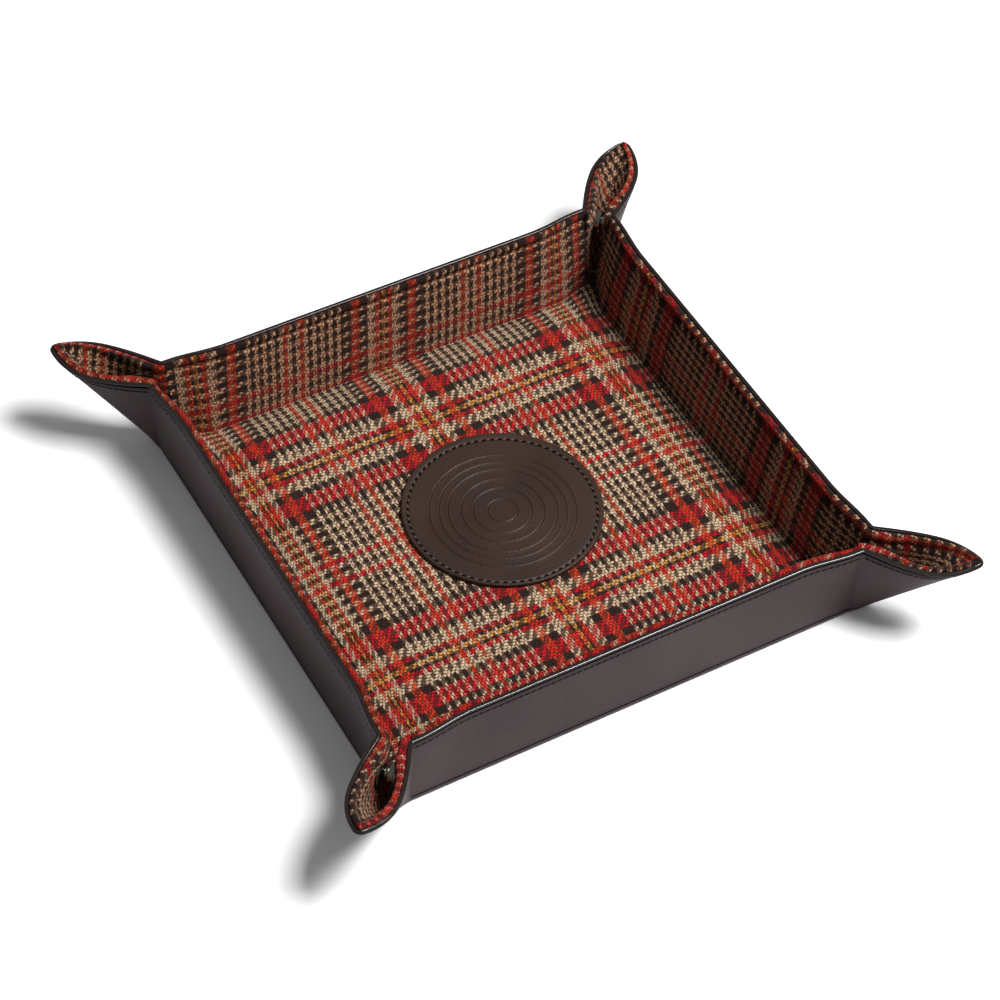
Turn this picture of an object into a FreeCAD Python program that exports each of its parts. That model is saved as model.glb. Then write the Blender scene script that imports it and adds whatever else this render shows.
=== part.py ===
"""Folding valet tray: a leather mat with a woven lining, folded up and pinched at four corners.

Millimetres and degrees. Origin in the middle of the underside, X along the front wall,
Y towards the back, Z up. Every fold line lies on the outer face of the leather.
"""
import FreeCAD
import Part
import math
import os

# Mat and folds
base_half = 100.0
border = 36.9
wall_angle = 86.2
crease_inset = 7.0
fold_gap = 0.15
overrun = 2.0

# Layers
leather = 1.4
lining = 2.0
base_board = 2.0
wall_board = 1.6
board_play = 0.05
ear_layer_gap = 0.3

# Walls
board_foot = 6.5
board_head = 6.4
board_end = 4.0
hem = 2.8
hem_slope = 1.5

# Base
base_board_margin = 8.0
base_board_corner = 12.0
corner_rise_angle = 60.0
lip_height = 4.2

# Ears
bend_share = 0.53
bend_half = 9.3
bend_dip = 0.8
neck_share = 0.2
tip_rise = 1.1
ear_leather_foot = 4.6
ear_lining_foot = 8.0

# Press studs
stud_reach = 7.2
stud_height = 26.0
stud_sink = 0.3
flange_radius = 5.5
flange = 0.8
flange_round = 0.3
socket_radius = 4.0
socket_height = 3.1
bore_radius = 2.3
bore_floor = 0.9
stud_base = 1.7
stud_dome_radius = 4.2
post_radius = 2.0
post_length = 2.6
post_round = 0.8
cap_radius = 4.5
cap = 0.5
rivet_radius = 1.7
web = 0.5
stud_play = 0.1

# Medallion
medallion_radius = 38.0
medallion = 1.8
medallion_round = 0.6
ring_depth = 0.45
ring_width = 0.9
ring_shares = (0.15, 0.29, 0.41, 0.54, 0.63, 0.727)

# Worked out from the sizes above
root_two = math.sqrt(2.0)
lean = math.radians(wall_angle)
rim_height = border * math.sin(lean)
rim_half = base_half + border * math.cos(lean)
crease_x = base_half - crease_inset
mitre = math.tan(lean / 2.0)
wall_depth = leather + wall_board + lining
base_depth = leather + base_board + lining
ear_depth = leather + lining

# Corner plan: s runs out along the diagonal, d from the diagonal plane to the first wall's side
root_s = (base_half + crease_x) / root_two
root_d = crease_inset / root_two
crease_s = (crease_x + rim_half) / root_two
crease_d = (rim_half - crease_x) / root_two
fold_length = (base_half + border) * root_two - root_s
tip_height = rim_height + tip_rise
tip_s = root_s + math.sqrt(fold_length ** 2 - tip_height ** 2)
bend_run = bend_share * (border + crease_inset)
bend_height = rim_height - bend_dip
bend_s = crease_s + math.sqrt(bend_run ** 2 - (bend_half - crease_d) ** 2 - bend_dip ** 2)
nose_radius = ((tip_s - bend_s) ** 2 + bend_half ** 2) / (2.0 * bend_half)

WALLS = ("front", "right", "back", "left")
CORNERS = (("front_right", "front", "right"), ("back_right", "right", "back"),
           ("back_left", "back", "left"), ("front_left", "left", "front"))
ORIGIN = FreeCAD.Vector(0, 0, 0)
UP = FreeCAD.Vector(0, 0, 1)
ALONG = FreeCAD.Vector(1, 0, 0)
DIAGONAL = FreeCAD.Vector(1, -1, 0).normalize()
ASIDE = FreeCAD.Vector(-1, -1, 0).normalize()


def wall_point(x, up, deep):
    """Point of the front wall: x along it, up its slope, and deep into it from the leather's face."""
    y = -base_half - up * math.cos(lean) + deep * math.sin(lean)
    return FreeCAD.Vector(x, y, up * math.sin(lean) + deep * math.cos(lean))


def ear_point(s, d, z):
    """Point of the front right corner, from its plan position and height."""
    return DIAGONAL * s + ASIDE * d + UP * z


def between(low, high, share):
    """Point at a share of the way from low to high."""
    return low + (high - low) * share


def polygon(points):
    """Closed wire through points."""
    return Part.makePolygon(list(points) + [points[0]])


def prism(points, travel):
    """Solid of a flat outline carried along travel."""
    return Part.Face(polygon(points)).extrude(travel)


def quarter_turns(shape, count):
    """Copy of shape turned about the tray's middle by count quarter turns."""
    turned = shape.copy()
    turned.rotate(ORIGIN, UP, 90.0 * count)
    return turned


# Base


def base_outline(half, corner_s, z):
    """Square of a given half width at height z, with its corners cut at corner_s along the diagonals."""
    cut = 2.0 * half - corner_s * root_two
    points = []
    for turn in range(4):
        for x, y in ((half - cut, -half), (half, cut - half)):
            point = FreeCAD.Vector(x, y, z)
            points.append(FreeCAD.Rotation(UP, 90.0 * turn).multVec(point))
    return points


def base_layer(low, high, corner_back):
    """Layer of the base between two heights, with edges that slope in at the folds."""
    outlines = []
    for z in (low, high):
        half = base_half - fold_gap - z / mitre
        corner = root_s - fold_gap - corner_back - z / math.tan(math.radians(corner_rise_angle))
        outlines.append(polygon(base_outline(half, corner, z)))
    return Part.makeLoft(outlines, True, True)


def corner_lip():
    """Leather drawn up at a base corner, from the cut corner to just under the ear."""
    low, high = [], []
    crease_share = 2.0 * fold_gap / crease_inset
    for share, top in ((crease_share, crease_top()), (bend_share, bend_top()), (1.0, tip_top())):
        s, d = plan(ear_root(share))
        low.append((s - fold_gap, d))
        high.append(plan(at_height(ear_root(share), top, lip_height)))
    wires = []
    for row, z in ((low, 0.0), (high, lip_height)):
        outer = row + [(s, -d) for s, d in row[-2::-1]]
        narrow = 1.0 - leather / row[0][1]
        inner = [(s - leather, d * narrow) for s, d in reversed(outer)]
        wires.append(polygon([ear_point(s, d, z) for s, d in outer + inner]))
    return Part.makeLoft(wires, True, True)


def base_pocket(grow):
    """Space of the base board, grown by its play."""
    half = base_half - base_board_margin + grow
    corner = (2.0 * half - base_board_corner) / root_two
    return prism(base_outline(half, corner, leather), UP * base_board)


def make_base():
    """Leather, board and lining of the base."""
    skin = base_layer(0.0, leather, 0.0)
    for turn in range(4):
        skin = skin.fuse(quarter_turns(corner_lip(), turn))
    cloth = base_layer(leather, base_depth, leather + fold_gap).cut(base_pocket(board_play))
    return {"base_leather": skin.removeSplitter(), "base_board": base_pocket(0.0), "base_lining": cloth}


def make_medallion():
    """Round leather piece with tooled rings, turned about the tray's middle."""
    top = base_depth + medallion
    points = [(0.0, base_depth), (medallion_radius, base_depth), (medallion_radius, top - medallion_round),
              (medallion_radius - medallion_round, top)]
    for share in reversed(ring_shares):
        middle = share * medallion_radius
        points += [(middle + ring_width / 2.0, top), (middle, top - ring_depth), (middle - ring_width / 2.0, top)]
    points.append((0.0, top))
    face = Part.Face(polygon([FreeCAD.Vector(r, 0, z) for r, z in points]))
    return {"medallion": face.revolve(ORIGIN, UP, 360.0)}


# Walls


def wall_edges(outline):
    """Edges of a wall section from a list of points and of (middle, end) pairs for arcs."""
    x = -crease_x + fold_gap
    last = wall_point(x, *outline[0])
    edges = []
    for step in outline[1:]:
        if isinstance(step[0], tuple):
            end = wall_point(x, *step[1])
            edges.append(Part.Arc(last, wall_point(x, *step[0]), end).toShape())
        else:
            end = wall_point(x, *step)
            edges.append(Part.makeLine(last, end))
        last = end
    return edges


def wall_solid(outline):
    """Wall piece: its section carried from crease to crease."""
    face = Part.Face(Part.Wire(wall_edges(outline)))
    return face.extrude(ALONG * (2.0 * (crease_x - fold_gap)))


def foot(deep):
    """Lowest point of the wall at a depth, on the slope that meets the base."""
    return (deep / mitre + fold_gap, deep)


def wall_pocket(grow):
    """Space of a wall's board, grown by its play."""
    half = crease_x - board_end + grow
    low, high = board_foot - grow, border - board_head + grow
    corners = [(low, leather), (high, leather), (high, leather + wall_board), (low, leather + wall_board)]
    return prism([wall_point(-half, up, deep) for up, deep in corners], ALONG * (2.0 * half))


def make_wall():
    """Leather, board and lining of the front wall."""
    edge = leather / 2.0
    skin = wall_solid([foot(0.0), (border - edge, 0.0), ((border, edge), (border - edge, leather)),
                       foot(leather), foot(0.0)])
    roll = hem / 2.0
    shoulder = border - board_head + board_play + hem_slope
    cloth = wall_solid([foot(leather), (border - roll, leather),
                        ((border, leather + roll), (border - roll, leather + hem)),
                        (shoulder, leather + hem), (shoulder - hem_slope, wall_depth),
                        foot(wall_depth), foot(leather)])
    return {"wall_leather": skin, "wall_board": wall_pocket(0.0), "wall_lining": cloth.cut(wall_pocket(board_play))}


# Ears


def ear_root(share):
    """Point of the cut base corner, at a share of the way from the crease to the diagonal."""
    return ear_point(root_s, root_d * (1.0 - share), 0.0)


def crease_top():
    """Rim end of the crease between wall and ear."""
    return ear_point(crease_s, crease_d, rim_height)


def bend_top():
    """Rim end of the bend line, where the ear is widest."""
    return ear_point(bend_s, bend_half, bend_height)


def tip_top():
    """Tip of the ear, on the diagonal fold."""
    return ear_point(tip_s, 0.0, tip_height)


def neck_top():
    """Middle of the inner panel's rim, drawn in by the press stud."""
    half_d = crease_d + neck_share * (bend_half - crease_d)
    return ear_point((crease_s + bend_s) / 2.0, half_d, (rim_height + bend_height) / 2.0)


def nose_top(share):
    """Point of the outer panel's rim, an arc that leaves the bend along the diagonal."""
    turn = math.asin((tip_s - bend_s) / nose_radius) * share
    s = bend_s + nose_radius * math.sin(turn)
    d = bend_half - nose_radius * (1.0 - math.cos(turn))
    z = bend_height + (tip_height - bend_height) * (s - bend_s) / (tip_s - bend_s)
    return ear_point(s, d, z)


def at_height(root, top, z):
    """Point of a ruling where it crosses height z."""
    return between(root, top, z / top.z)


def plan(point):
    """Plan position of a point as s and d."""
    return point.dot(DIAGONAL), point.dot(ASIDE)


def heading(start, end):
    """Plan direction from start to end, as an angle."""
    (s0, d0), (s1, d1) = plan(start), plan(end)
    return math.atan2(d1 - d0, s1 - s0)


def stepped(point, angle, length):
    """Point moved in plan by a length at an angle."""
    return point + DIAGONAL * (length * math.cos(angle)) + ASIDE * (length * math.sin(angle))


quarter = math.pi / 2.0
crease_square = math.atan2(bend_half - crease_d, bend_s - crease_s) - quarter


def panel_spread(start, end, tilt_from):
    """How much wider than its thickness a panel is in a level cut, from its lean."""
    normal = (end - start).cross(tilt_from - start)
    return 1.0 / math.hypot(normal.dot(DIAGONAL), normal.dot(ASIDE)) * normal.Length


def inner_rows(z):
    """Crease, neck and bend of the inner panel, at height z or at the rim when z is None."""
    tops = (crease_top(), neck_top(), bend_top())
    if z is None:
        return tops
    return [at_height(ear_root(share), top, z) for share, top in zip((0.0, bend_share / 2.0, bend_share), tops)]


def outer_rows(z):
    """Bend, nose and tip of the outer panel, at height z or at the rim when z is None."""
    tops = (bend_top(), nose_top(0.5), tip_top())
    if z is None:
        return tops
    shares = (bend_share, (1.0 + bend_share) / 2.0, 1.0)
    return [at_height(ear_root(share), top, z) for share, top in zip(shares, tops)]


def bend_square(z):
    """Plan direction of the mitre at the bend, halving the angle between the two panels."""
    if z is None:
        return -quarter
    _, neck, bend = inner_rows(z)
    nose = outer_rows(z)[1]
    return (heading(neck, bend) + heading(bend, nose)) / 2.0 - quarter


def inner_side(z, depth):
    """Three points of the inner panel's surface at a depth, at one height."""
    crease, neck, bend = inner_rows(z)
    low_heading, high_heading = heading(crease, neck), heading(neck, bend)
    middle = (low_heading + high_heading) / 2.0 - quarter
    mitre_angle = bend_square(z)
    first = stepped(crease, crease_square, depth / math.cos(crease_square + quarter - low_heading))
    last = stepped(bend, mitre_angle, depth / math.cos(mitre_angle + quarter - high_heading))
    first = stepped(first, low_heading, fold_gap)
    last = stepped(last, high_heading, -fold_gap)
    return first, stepped(neck, middle, depth), last


def outer_side(z, depth):
    """Three points of the outer panel's surface at a depth, ending at the diagonal plane."""
    bend, nose, tip = outer_rows(z)
    wide = depth * panel_spread(bend_top(), ear_root(bend_share), tip_top())
    first_heading, last_heading = heading(bend, nose), heading(nose, tip)
    mitre_angle = bend_square(z)
    first = stepped(bend, mitre_angle, depth / math.cos(mitre_angle + quarter - first_heading))
    first = stepped(first, first_heading, fold_gap)
    end = stepped(tip, last_heading - quarter, wide)
    end = stepped(end, last_heading, (fold_gap - plan(end)[1]) / math.sin(last_heading))
    mean_heading = (first_heading + last_heading) / 2.0
    middle = stepped(nose, mean_heading - quarter, wide)
    kept = (plan(end)[0] - plan(first)[0]) / (plan(tip)[0] - plan(bend)[0])
    middle_s = plan(first)[0] + (plan(nose)[0] - plan(bend)[0]) * kept
    middle = stepped(middle, mean_heading, (middle_s - plan(middle)[0]) / math.cos(mean_heading))
    return first, middle, end


def leveled(points, rows):
    """Points put on the plane that climbs with s from the first of rows to the last."""
    s0, s1 = plan(rows[0])[0], plan(rows[2])[0]
    slope = (rows[2].z - rows[0].z) / (s1 - s0)
    result = []
    for point in points:
        s, d = plan(point)
        result.append(ear_point(s, d, rows[0].z + slope * (s - s0)))
    return result


def panel(side, rows, low, outside, inside):
    """Ear panel between two depths, ruled from a level cut at low up to the rim.

    Its outside lies on the surface that is ruled from the leather's foot, so that the layers nest.
    """
    rim_out = leveled(side(None, outside), rows(None))
    foot_out = leveled(side(ear_leather_foot, outside), rows(ear_leather_foot))
    low_out = [between(a, b, (low - a.z) / (b.z - a.z)) for a, b in zip(foot_out, rim_out)]
    low_in = leveled(side(low, inside), rows(low))
    rim_in = leveled(side(None, inside), rows(None))
    wires = []
    for out, back in ((low_out, low_in), (rim_out, rim_in)):
        wires.append(Part.Wire([Part.Arc(*out).toShape(), Part.makeLine(out[2], back[2]),
                                Part.Arc(*reversed(back)).toShape(), Part.makeLine(back[0], out[0])]))
    return Part.makeLoft(wires, True, True)


def make_ear():
    """Leather and lining of both panels of one ear side."""
    back = leather + ear_layer_gap
    return {"inner_leather": panel(inner_side, inner_rows, ear_leather_foot, 0.0, leather),
            "inner_lining": panel(inner_side, inner_rows, ear_lining_foot, back, ear_depth),
            "outer_leather": panel(outer_side, outer_rows, ear_leather_foot, 0.0, leather),
            "outer_lining": panel(outer_side, outer_rows, ear_lining_foot, back, ear_depth)}


# Press studs


def stud_place():
    """Point on the ear's outer face behind the press stud."""
    crease, neck, _ = inner_rows(stud_height)
    (s0, d0), (s1, d1) = plan(crease), plan(neck)
    s = s0 + stud_reach
    return s, d0 + (d1 - d0) * (s - s0) / (s1 - s0)


def stud_turned(profile):
    """Solid turned about the stud's axis, from (radius, d) points."""
    s, _ = stud_place()
    axis_point = ear_point(s, 0.0, stud_height)
    outline = [axis_point + DIAGONAL * radius + ASIDE * d for radius, d in profile]
    return Part.Face(polygon(outline)).revolve(axis_point, ASIDE, 360.0)


def stud_seat():
    """Distance from the diagonal plane to the seat of a press-stud half."""
    return stud_place()[1] - ear_depth + stud_sink


def stud_room():
    """Space that a press-stud half takes out of the lining."""
    seat = stud_seat()
    wide = flange_radius + stud_play
    hole = rivet_radius + stud_play
    head = cap_radius + stud_play
    far = seat + ear_depth
    return stud_turned([(0.0, -overrun), (wide, -overrun), (wide, seat), (hole, seat), (hole, seat + web),
                        (head, seat + web), (head, far), (0.0, far)])


def rivet():
    """Hidden cap and post that clench a press-stud half to the lining."""
    seat = stud_seat()
    return stud_turned([(0.0, seat), (rivet_radius, seat), (rivet_radius, seat + web), (cap_radius, seat + web),
                        (cap_radius, seat + web + cap), (0.0, seat + web + cap)])


def make_stud():
    """Stud half: stepped base with a rounded post, and its rivet."""
    seat = stud_seat()
    face = seat - stud_base
    end = face - post_length
    body = stud_turned([(0.0, seat), (flange_radius, seat), (flange_radius, seat - flange + flange_round),
                        (flange_radius - flange_round, seat - flange), (stud_dome_radius, seat - flange),
                        (post_radius + post_round, face), (post_radius, face), (post_radius, end + post_round),
                        (post_radius - post_round, end), (0.0, end)])
    return Part.makeCompound([body, rivet()])


def make_socket():
    """Socket half: flange and bored drum, and its rivet, on the first wall's side."""
    seat = stud_seat()
    mouth = seat - socket_height
    floor = seat - bore_floor
    body = stud_turned([(0.0, seat), (flange_radius, seat), (flange_radius, seat - flange + flange_round),
                        (flange_radius - flange_round, seat - flange), (socket_radius, seat - flange),
                        (socket_radius, mouth + flange_round), (socket_radius - flange_round, mouth),
                        (bore_radius + flange_round, mouth), (bore_radius, mouth + flange_round),
                        (bore_radius, floor), (0.0, floor)])
    return Part.makeCompound([body, rivet()])


# Whole tray


def build():
    """All pieces of the tray, by node name."""
    nodes = make_base()
    nodes.update(make_medallion())
    wall = make_wall()
    ear = make_ear()
    ear["inner_lining"] = ear["inner_lining"].cut(stud_room())
    studs = {"stud": make_stud(), "socket": make_socket().mirror(ORIGIN, ASIDE)}
    for turn, (corner, first, second) in enumerate(CORNERS):
        for name, shape in wall.items():
            nodes[f"{WALLS[turn]}_{name}"] = quarter_turns(shape, turn)
        for name, shape in ear.items():
            nodes[f"{corner}_ear_{first}_{name}"] = quarter_turns(shape, turn)
            nodes[f"{corner}_ear_{second}_{name}"] = quarter_turns(shape.mirror(ORIGIN, ASIDE), turn)
        for name, shape in studs.items():
            nodes[f"{corner}_{name}"] = quarter_turns(shape, turn)
    return nodes


def main():
    """Write one file per piece."""
    os.makedirs("parts", exist_ok=True)
    for name, shape in build().items():
        shape.exportStep(f"parts/{name}.step")


if __name__ == "__main__":
    main()
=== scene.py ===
# %% [markdown]
# # A folding valet tray
# A leather mat with a check wool lining is folded up into four low walls. Each corner is pinched into a
# leaf-shaped ear, and a press stud inside holds it. The CAD model gives the frame: the base pieces, the wall
# boards, the medallion and the wall stitches ride on its bodies, while the wall and ear leathers, their
# linings and the ear stitches stay fixed in place.

# %% Load the fixed frame
import math
from functools import partial

import bpy
import numpy as np
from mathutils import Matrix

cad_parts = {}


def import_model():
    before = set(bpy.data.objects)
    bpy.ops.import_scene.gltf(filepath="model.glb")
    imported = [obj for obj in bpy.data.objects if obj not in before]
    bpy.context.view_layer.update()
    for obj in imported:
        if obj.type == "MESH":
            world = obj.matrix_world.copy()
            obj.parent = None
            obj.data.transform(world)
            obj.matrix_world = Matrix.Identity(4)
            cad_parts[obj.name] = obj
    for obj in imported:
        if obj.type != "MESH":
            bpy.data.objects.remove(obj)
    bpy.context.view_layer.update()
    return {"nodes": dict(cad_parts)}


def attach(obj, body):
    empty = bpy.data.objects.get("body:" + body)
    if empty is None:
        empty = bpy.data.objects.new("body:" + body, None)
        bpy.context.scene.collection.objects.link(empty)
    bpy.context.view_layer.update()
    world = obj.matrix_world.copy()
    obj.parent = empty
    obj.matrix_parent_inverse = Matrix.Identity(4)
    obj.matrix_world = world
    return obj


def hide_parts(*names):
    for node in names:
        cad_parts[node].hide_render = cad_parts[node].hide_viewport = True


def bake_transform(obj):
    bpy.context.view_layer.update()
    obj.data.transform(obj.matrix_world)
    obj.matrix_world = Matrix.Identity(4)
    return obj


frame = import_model()

# %% [markdown]
# ## Sizes
# The tray is worked out in millimetres, as a leather worker would mark it out, and scaled to metres when a
# mesh is made. The wall is a flat band that leans out a little; a point on it is `up` the wall and `deep`
# into the tray. On the cloth's UV map one unit is 100 mm.

# %% Driving sizes, in millimetres
MM = 0.001
cloth_scale = 0.01
base_half = 100.0
border = 36.9
wall_angle = math.radians(86.2)
crease_inset = 7.0
leather = 1.4
lining_back = 1.5
WALLS = ["front", "right", "back", "left"]
CORNERS = [
    ("front_right", "front", "right"),
    ("back_right", "right", "back"),
    ("back_left", "back", "left"),
    ("front_left", "left", "front"),
]
wall_end = base_half - crease_inset
rim_height = border * math.sin(wall_angle)
rim_half = base_half + border * math.cos(wall_angle)
print("rim stands", round(rim_height, 2), "and reaches", round(rim_half, 2))

# %% [markdown]
# ## Helpers
# Almost every piece here is a closed profile carried along a path, so one helper turns an array of loops
# into a mesh. It keeps the place of each point on the flat cloth as a UV map, because a woven pattern
# follows the cloth and not the room.


# %% Loops to mesh
def smooth(value):
    """Smooth step: 3t^2 - 2t^3 with t held between 0 and 1."""
    held = np.clip(value, 0.0, 1.0)
    return held * held * (3.0 - 2.0 * held)


def bell(value, middle, width):
    """Bell curve: exp(-((value - middle) / width)^2)."""
    return np.exp(-(((value - middle) / width) ** 2))


def turned(points, quarter):
    """Quarter turns about the upright axis: (x, y) goes to (-y, x) once for each turn."""
    spun = np.array(points, dtype=float)
    for _ in range(quarter % 4):
        spun[..., :2] = np.stack([-spun[..., 1], spun[..., 0]], axis=-1)
    return spun


def mirrored(points):
    """Mirror across the plane through the front right corner: (x, y) goes to (-y, -x)."""
    flipped = np.array(points, dtype=float)
    flipped[..., :2] = np.stack([-flipped[..., 1], -flipped[..., 0]], axis=-1)
    return flipped


def signed_volume(points, quads):
    """Sum of a . (b x c) / 6 over the two triangles of each quad."""
    a, b, c, d = (points[quads[:, side]] for side in range(4))
    first = np.einsum("ij,ij->i", a, np.cross(b, c)).sum()
    second = np.einsum("ij,ij->i", a, np.cross(c, d)).sum()
    return (first + second) / 6.0


def tube_faces(loops, ring=False):
    """Quads that join neighbours in loops[station, point], and the two end faces, all turned outwards.

    Each loop closes on itself. A ring of stations joins up and has no ends."""
    stations, count = loops.shape[:2]
    index = np.arange(stations * count).reshape(stations, count)
    near, far = (index, np.roll(index, -1, axis=0)) if ring else (index[:-1], index[1:])
    quads = np.stack([near, np.roll(near, -1, 1), np.roll(far, -1, 1), far], axis=-1).reshape(-1, 4)
    caps = [] if ring else [index[0][::-1], index[-1]]
    if signed_volume(loops.reshape(-1, 3), quads) < 0.0:
        return quads[:, ::-1], [cap[::-1] for cap in caps]
    return quads, caps


def lay_cloth(mesh, flat):
    """Keep each point's place on the flat cloth as a UV map."""
    corner_vertex = np.empty(len(mesh.loops), dtype=np.int32)
    mesh.loops.foreach_get("vertex_index", corner_vertex)
    layer = mesh.uv_layers.new(name="cloth")
    place = flat.reshape(-1, 2)[corner_vertex] * cloth_scale
    layer.data.foreach_set("uv", place.astype(np.float32).ravel())


def place_object(name, data):
    """A new object in the scene for a mesh, a lamp or a camera."""
    made = bpy.data.objects.new(name, data)
    bpy.context.scene.collection.objects.link(made)
    return made


def loops_to_object(name, loops, flat=None, ring=False, sharp=40.0, bands=()):
    """A piece from loops[station, point], smooth but for its end faces and its sharp edges.

    Each band gives a first and a last profile step and the number of the finish between them."""
    quads, caps = tube_faces(loops, ring)
    faces = quads.tolist() + [cap.tolist() for cap in caps]
    mesh = bpy.data.meshes.new(name)
    mesh.from_pydata((loops.reshape(-1, 3) * MM).tolist(), [], faces)
    if flat is not None:
        lay_cloth(mesh, flat)
    number = np.arange(len(faces))
    on_side = number < len(quads)
    step = np.where(on_side, number % loops.shape[1], -1)
    chosen = np.zeros(len(faces), dtype=np.int32)
    for first, last, finish_number in bands:
        chosen[(step >= first) & (step < last)] = finish_number
    mesh.polygons.foreach_set("material_index", chosen)
    mesh.set_sharp_from_angle(angle=math.radians(sharp))
    mesh.polygons.foreach_set("use_smooth", on_side)
    mesh.update()
    return place_object(name, mesh)


def arc(middle, radius, start, end, count):
    """Points (a, m) on a circle from one angle to another, in degrees."""
    angle = np.radians(np.linspace(start, end, count))
    return np.stack([middle[0] + radius * np.cos(angle), middle[1] + radius * np.sin(angle)], axis=1)


def around(points, quarter, mirror=False):
    """Points of the front wall or the front right corner, mirrored if asked, at their own place."""
    return turned(mirrored(points) if mirror else points, quarter)


def world(point, quarter, mirror=False):
    """A point turned to its own place in the same way, in metres."""
    return tuple(float(value) for value in around(point, quarter, mirror) * MM)


# %% [markdown]
# ## Finishes
# The leather is a dark brown, close-grained hide with a soft sheen. The lining is a wool check in a two-up,
# two-down twill: each thread has its own colour, and the pattern is what shows where warp or weft lies on
# top. So the cloth is woven in its node tree from two thread counts instead of being painted.


# %% Node helpers
def set_inputs(tree, node, values):
    """Set a node's inputs to numbers or link them to sockets."""
    for key, value in values.items():
        if isinstance(value, bpy.types.NodeSocket):
            tree.links.new(value, node.inputs[key])
        else:
            node.inputs[key].default_value = value


def add_node(tree, kind, values=None, **settings):
    """A shader node with its settings and inputs."""
    made = tree.nodes.new("ShaderNode" + kind)
    for key, value in settings.items():
        setattr(made, key, value)
    set_inputs(tree, made, values or {})
    return made


def math_node(tree, operation, *values):
    """One arithmetic step on numbers or sockets."""
    return add_node(tree, "Math", dict(enumerate(values)), operation=operation).outputs[0]


def vector_node(tree, operation, *values):
    """One arithmetic step on vectors or sockets."""
    return add_node(tree, "VectorMath", dict(enumerate(values)), operation=operation).outputs[0]


def new_finish(name, shader_kind="BsdfPrincipled"):
    """A new material with one shader on its output."""
    finish = bpy.data.materials.new(name)
    finish.use_nodes = True
    tree = finish.node_tree
    tree.nodes.clear()
    shader = add_node(tree, shader_kind)
    add_node(tree, "OutputMaterial", {"Surface": shader.outputs[0]})
    return finish, tree, shader


def linear(red, green, blue):
    """An sRGB colour of 0 to 255 as the linear colour that nodes use."""
    share = np.array([red, green, blue]) / 255.0
    light = np.where(share <= 0.04045, share / 12.92, ((share + 0.055) / 1.055) ** 2.4)
    return (*[float(value) for value in light], 1.0)


def noise(tree, place, scale, detail, roughness=0.5):
    """Layered noise of 0 to 1 at a place."""
    values = {"Vector": place, "Scale": scale, "Detail": detail, "Roughness": roughness}
    return add_node(tree, "TexNoise", values).outputs["Fac"]


def two_tone(tree, share, dark, light, start=0.0, end=1.0):
    """A colour that goes from dark to light while the share goes from start to end."""
    ramp = add_node(tree, "ValToRGB", {"Fac": share})
    for stop, position, colour in zip(ramp.color_ramp.elements, (start, end), (dark, light)):
        stop.position = position
        stop.color = colour
    return ramp.outputs["Color"]


def between(tree, share, low, high):
    """A number that goes from low to high with the share."""
    return add_node(tree, "MapRange", {"Value": share, "To Min": low, "To Max": high}).outputs["Result"]


def bumped(tree, height, strength, distance):
    """A normal tilted by a height."""
    values = {"Height": height, "Strength": strength, "Distance": distance}
    return add_node(tree, "Bump", values).outputs["Normal"]


# %% Leather
def leather_finish(name, dark, light, roughness):
    """Brown hide: two browns clouded together, a fine pebbled grain, and a slightly uneven gloss."""
    finish, tree, shader = new_finish(name)
    place = add_node(tree, "TexCoord").outputs["Object"]
    cloud = noise(tree, place, 28.0, 4.0)
    pebble = add_node(tree, "TexVoronoi", {"Vector": place, "Scale": 1300.0}, feature="SMOOTH_F1")
    fine = noise(tree, place, 700.0, 5.0, 0.65)
    grain = math_node(tree, "MULTIPLY_ADD", fine, 0.6, pebble.outputs["Distance"])
    look = {
        "Base Color": two_tone(tree, cloud, dark, light, 0.3, 0.7),
        "Roughness": between(tree, fine, roughness - 0.08, roughness + 0.1),
        "Normal": bumped(tree, grain, 0.28, 0.0004),
        "Specular IOR Level": 0.24,
    }
    set_inputs(tree, shader, look)
    return finish


def edge_finish(name):
    """Painted leather edge: nearly black brown under a smooth coat, slightly uneven from the brush."""
    finish, tree, shader = new_finish(name)
    brush = noise(tree, add_node(tree, "TexCoord").outputs["Object"], 260.0, 3.0)
    look = {
        "Base Color": two_tone(tree, brush, linear(20, 14, 12), linear(36, 26, 23)),
        "Roughness": between(tree, brush, 0.1, 0.22),
        "Normal": bumped(tree, brush, 0.15, 0.0004),
        "Specular IOR Level": 0.75,
    }
    set_inputs(tree, shader, look)
    return finish


def groove_shade_finish(name):
    """Painted shade for grooves: a flat, nearly black brown where the lip's shadow and the groove's depth
    fall.
    """
    finish, tree, shader = new_finish(name)
    set_inputs(tree, shader, {"Base Color": linear(14, 10, 9), "Roughness": 0.9, "Specular IOR Level": 0.1})
    return finish


wall_hide = leather_finish("brown_hide", linear(58, 44, 46), linear(72, 57, 59), 0.5)
disc_hide = leather_finish("medallion_hide", linear(46, 31, 25), linear(58, 41, 33), 0.46)
edge_paint = edge_finish("painted_edge")
painted_groove_shade = groove_shade_finish("painted_groove_shade")
print("leather finishes", wall_hide.name, disc_hide.name, edge_paint.name, painted_groove_shade.name)

# %% [markdown]
# The check repeats every 88 threads in both directions and is a mirror image about its block middles, so
# counting threads with a ping-pong of 44 and reading a stepped colour ramp gives every thread's colour.
# From the narrow block's middle outwards: gold, dark, a thin bright line, cream, dark, a broad bright line,
# dark, then pairs of cream with dark gaps, one of which is bright. The pitch is one thread, in millimetres.

# %% Wool check
dark_wool = linear(56, 33, 26)
cream_wool = linear(242, 219, 186)
red_wool = linear(228, 12, 36)
orange_wool = linear(238, 74, 26)
gold_wool = linear(242, 176, 82)
half_repeat = 44
warp_pitch = 0.891
weft_pitch = 1.195
warp_start = 3.9
weft_start = -54.3


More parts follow.
